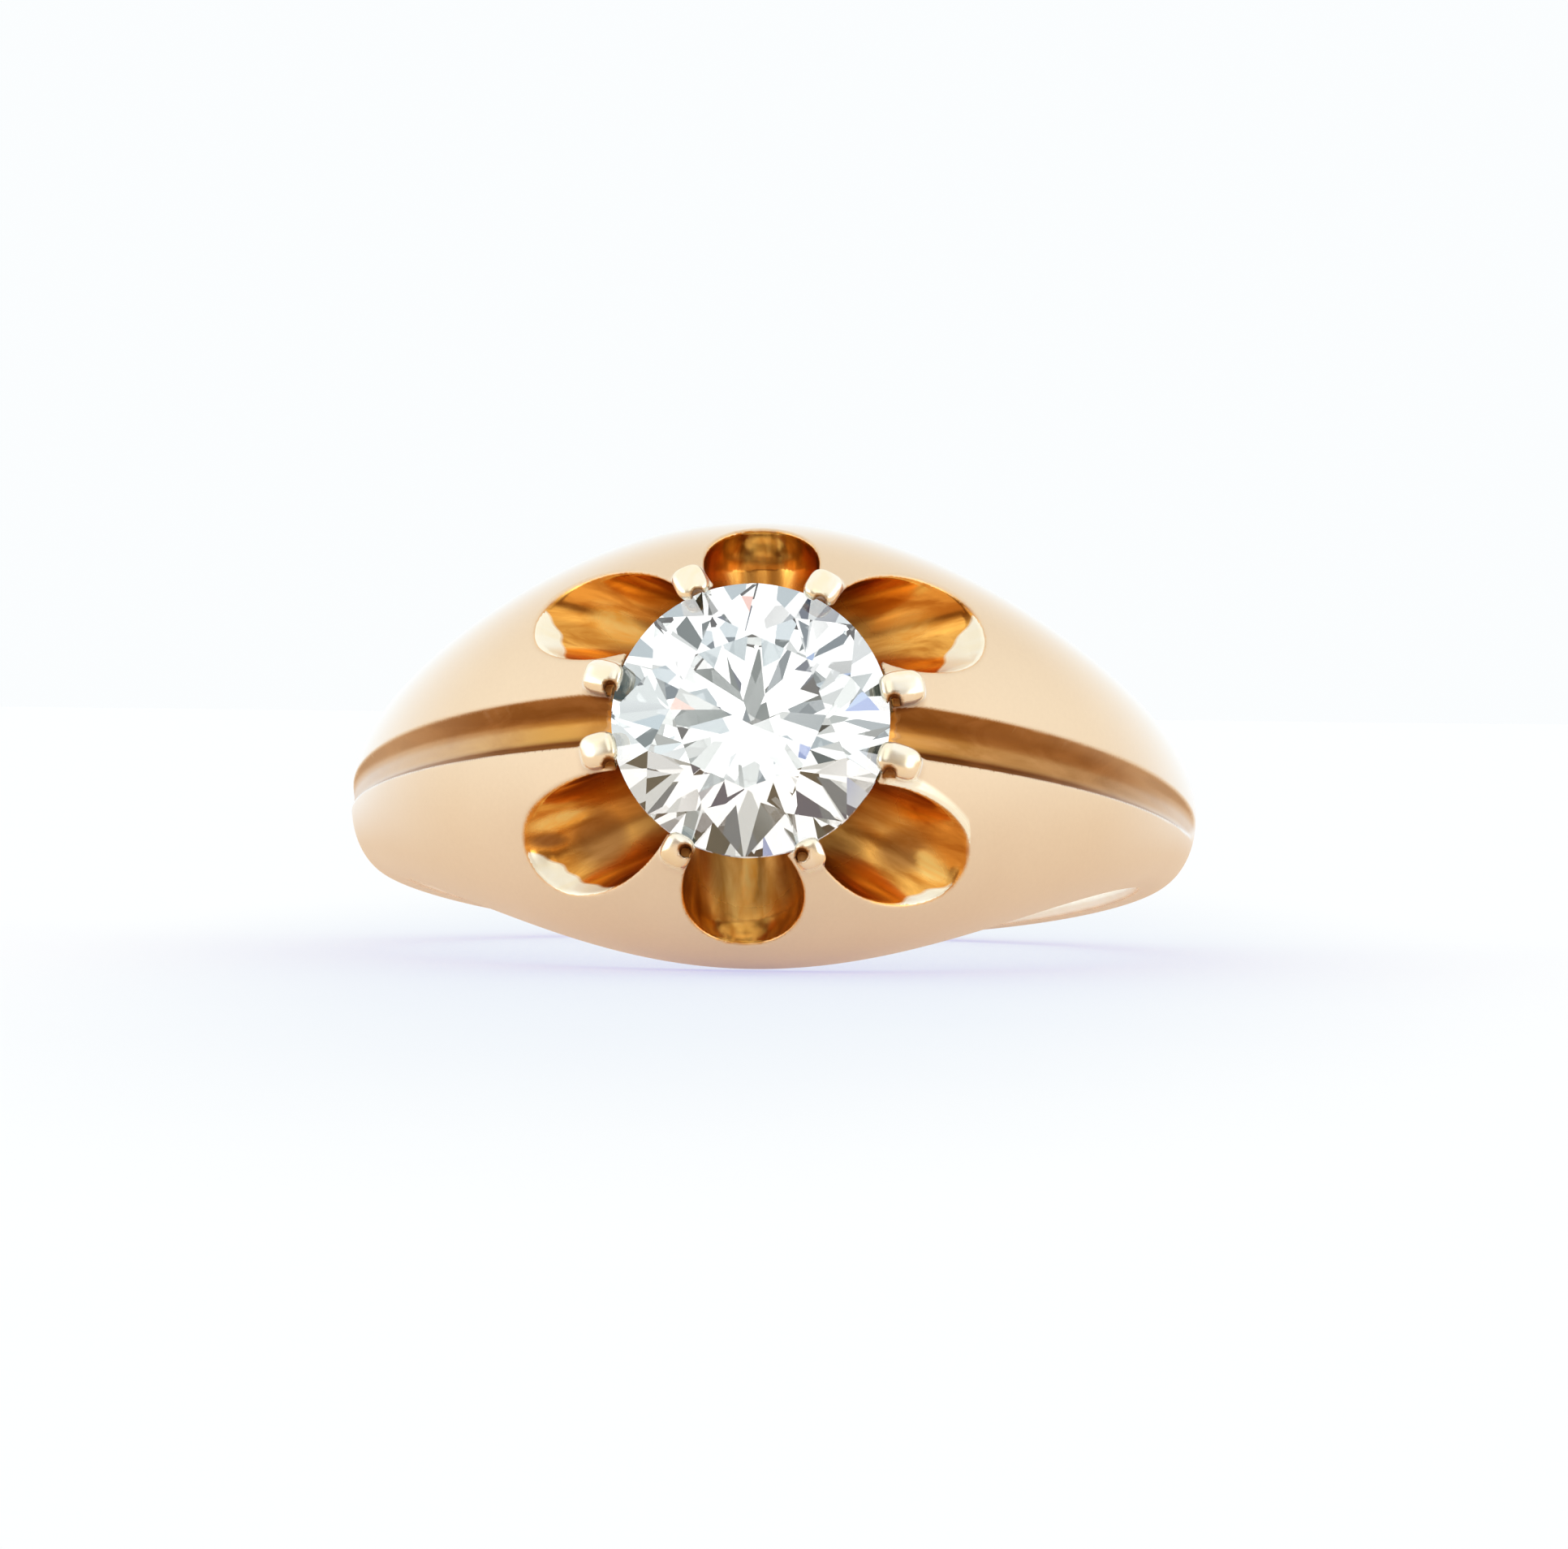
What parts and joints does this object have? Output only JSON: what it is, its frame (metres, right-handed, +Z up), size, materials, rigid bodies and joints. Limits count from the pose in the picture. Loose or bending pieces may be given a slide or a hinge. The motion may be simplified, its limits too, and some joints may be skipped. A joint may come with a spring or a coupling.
{
  "type": "solitaire ring",
  "caption": "Finger ring with one round faceted stone held level in a wide domed head by small claws, with carved scoops around it and a groove along each shoulder.",
  "frame": {"origin": "on the floor, under the middle of the ring's box as it lies", "axes": "+Z up from the floor; the ring lies on its side with the finger hole 12 degrees off upright; the stone faces -Y and slightly up; +X across the ring"},
  "size_m": [0.0214, 0.0238, 0.0106],
  "materials": {
    "ring_body": "satin yellow gold outside, polished in the scoops, the grooves and on the claws",
    "stone": "polished clear brilliant-cut stone"
  },
  "bodies": {
    "root": {"ring_body": "ring_body", "stone": "stone"}
  },
  "joints": []
}
